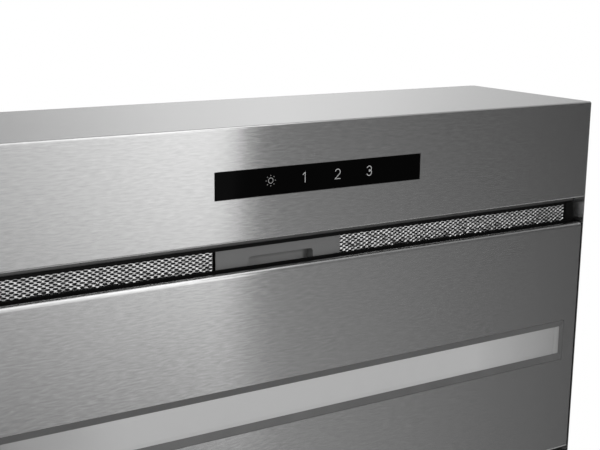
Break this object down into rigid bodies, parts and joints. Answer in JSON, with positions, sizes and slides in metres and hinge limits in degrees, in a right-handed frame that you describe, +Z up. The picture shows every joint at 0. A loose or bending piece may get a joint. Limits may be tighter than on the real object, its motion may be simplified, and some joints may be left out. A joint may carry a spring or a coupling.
{
  "type": "under cabinet range hood",
  "caption": "Stainless under cabinet range hood: touch glass on the front strip, air slots beside a hinged suction panel with a light bar, mesh filter, blower, and duct spigot with damper.",
  "frame": {"origin": "centre of the four cabinet screw slots, on the upper face of the top panel", "axes": "+X to the hood's right as seen from the front, -Y to the front, +Z up towards the cabinet"},
  "size_m": [0.7596, 0.508, 0.256],
  "materials": {
    "brushed_steel": "fine brushed grain along X",
    "galvanised_steel": "matt zinc coated sheet",
    "dark_rail_steel": "matt dark grey coat",
    "black_steel": "satin black coat",
    "black_glass": "polished black back-printed glass",
    "black_plastic": "moulded black plastic",
    "circuit_board": "green solder mask",
    "filter_mesh": "bright expanded mesh",
    "handle_grey": "satin grey coat",
    "white_plastic": "opal white",
    "bezel_grey": "satin grey",
    "aluminium_sheet": "mill finish",
    "zinc_screws": "zinc plated",
    "bright_steel": "bright drawn steel",
    "fan_black": "moulded black plastic",
    "motor_steel": "satin steel",
    "bronze": "sintered bronze",
    "rubber_black": "matt rubber"
  },
  "bodies": {
    "casing": {"front_wrap": "brushed_steel", "back_wrap": "brushed_steel", "side_panel_left": "brushed_steel", "side_panel_right": "brushed_steel", "top_panel": "galvanised_steel", "body_rivets": "zinc_screws", "filter_rail_front": "dark_rail_steel", "filter_rail_rear": "dark_rail_steel", "filter_rail_left": "black_steel", "filter_rail_right": "black_steel", "touch_glass": "black_glass", "touch_carrier": "black_plastic", "carrier_studs": "zinc_screws", "carrier_nuts": "zinc_screws", "touch_board": "circuit_board", "hinge_pins": "bright_steel", "catch_springs": "bright_steel", "filter_frame": "black_steel", "filter_mesh_lower": "filter_mesh", "filter_mesh_core": "filter_mesh", "filter_mesh_upper": "filter_mesh", "handle_plate": "handle_grey", "latch_cover": "dark_rail_steel", "latch_springs": "bright_steel", "scroll_wrapper": "galvanised_steel", "scroll_side_left": "galvanised_steel", "scroll_side_right": "galvanised_steel", "motor_can": "motor_steel", "motor_stator": "motor_steel", "motor_bushes": "bronze", "motor_bracket": "galvanised_steel", "motor_bolts": "zinc_screws", "blower_bolts": "zinc_screws", "duct_spigot": "galvanised_steel", "spigot_screws": "zinc_screws", "damper_pins": "bright_steel", "control_box": "galvanised_steel", "control_box_cover": "galvanised_steel", "power_board": "circuit_board", "led_driver": "white_plastic", "terminal_block": "black_plastic", "motor_capacitor": "white_plastic", "capacitor_clip": "galvanised_steel", "cable_bushing": "rubber_black"},
    "suction_panel": {"panel_skin": "brushed_steel", "panel_tray": "black_steel", "panel_rivets": "zinc_screws", "light_bezel": "bezel_grey", "light_diffuser": "white_plastic", "light_housing": "aluminium_sheet", "light_screws": "zinc_screws", "led_board": "circuit_board"},
    "filter_latch": {"latch_slider": "bright_steel"},
    "fan": {"fan_wheel": "fan_black", "fan_hub": "motor_steel", "motor_shaft": "bright_steel", "motor_rotor": "motor_steel"},
    "damper_front": {"damper_flap_front": "aluminium_sheet"},
    "damper_rear": {"damper_flap_rear": "aluminium_sheet"}
  },
  "joints": [
    {"name": "panel_hinge", "type": "hinge", "parent": "casing", "child": "suction_panel", "pos_m": [0, 0.1815, -0.207], "axis": [1, 0, 0], "range_deg": [0, 90]},
    {"name": "filter_latch_slide", "type": "slide", "parent": "casing", "child": "filter_latch", "axis": [0, 1, 0], "range_m": [0, 0.006], "stiffness_N_per_m": 600, "springref_m": -0.004, "deforming": ["latch_springs"]},
    {"name": "fan_spin", "type": "hinge", "parent": "casing", "child": "fan", "pos_m": [0, 0.06, -0.092], "axis": [1, 0, 0], "continuous": true},
    {"name": "damper_front_swing", "type": "hinge", "parent": "casing", "child": "damper_front", "pos_m": [0, 0.118, 0.02], "axis": [-1, 0, 0], "range_deg": [0, 80]},
    {"name": "damper_rear_swing", "type": "hinge", "parent": "casing", "child": "damper_rear", "pos_m": [0, 0.126, 0.02], "axis": [1, 0, 0], "range_deg": [0, 80]}
  ]
}
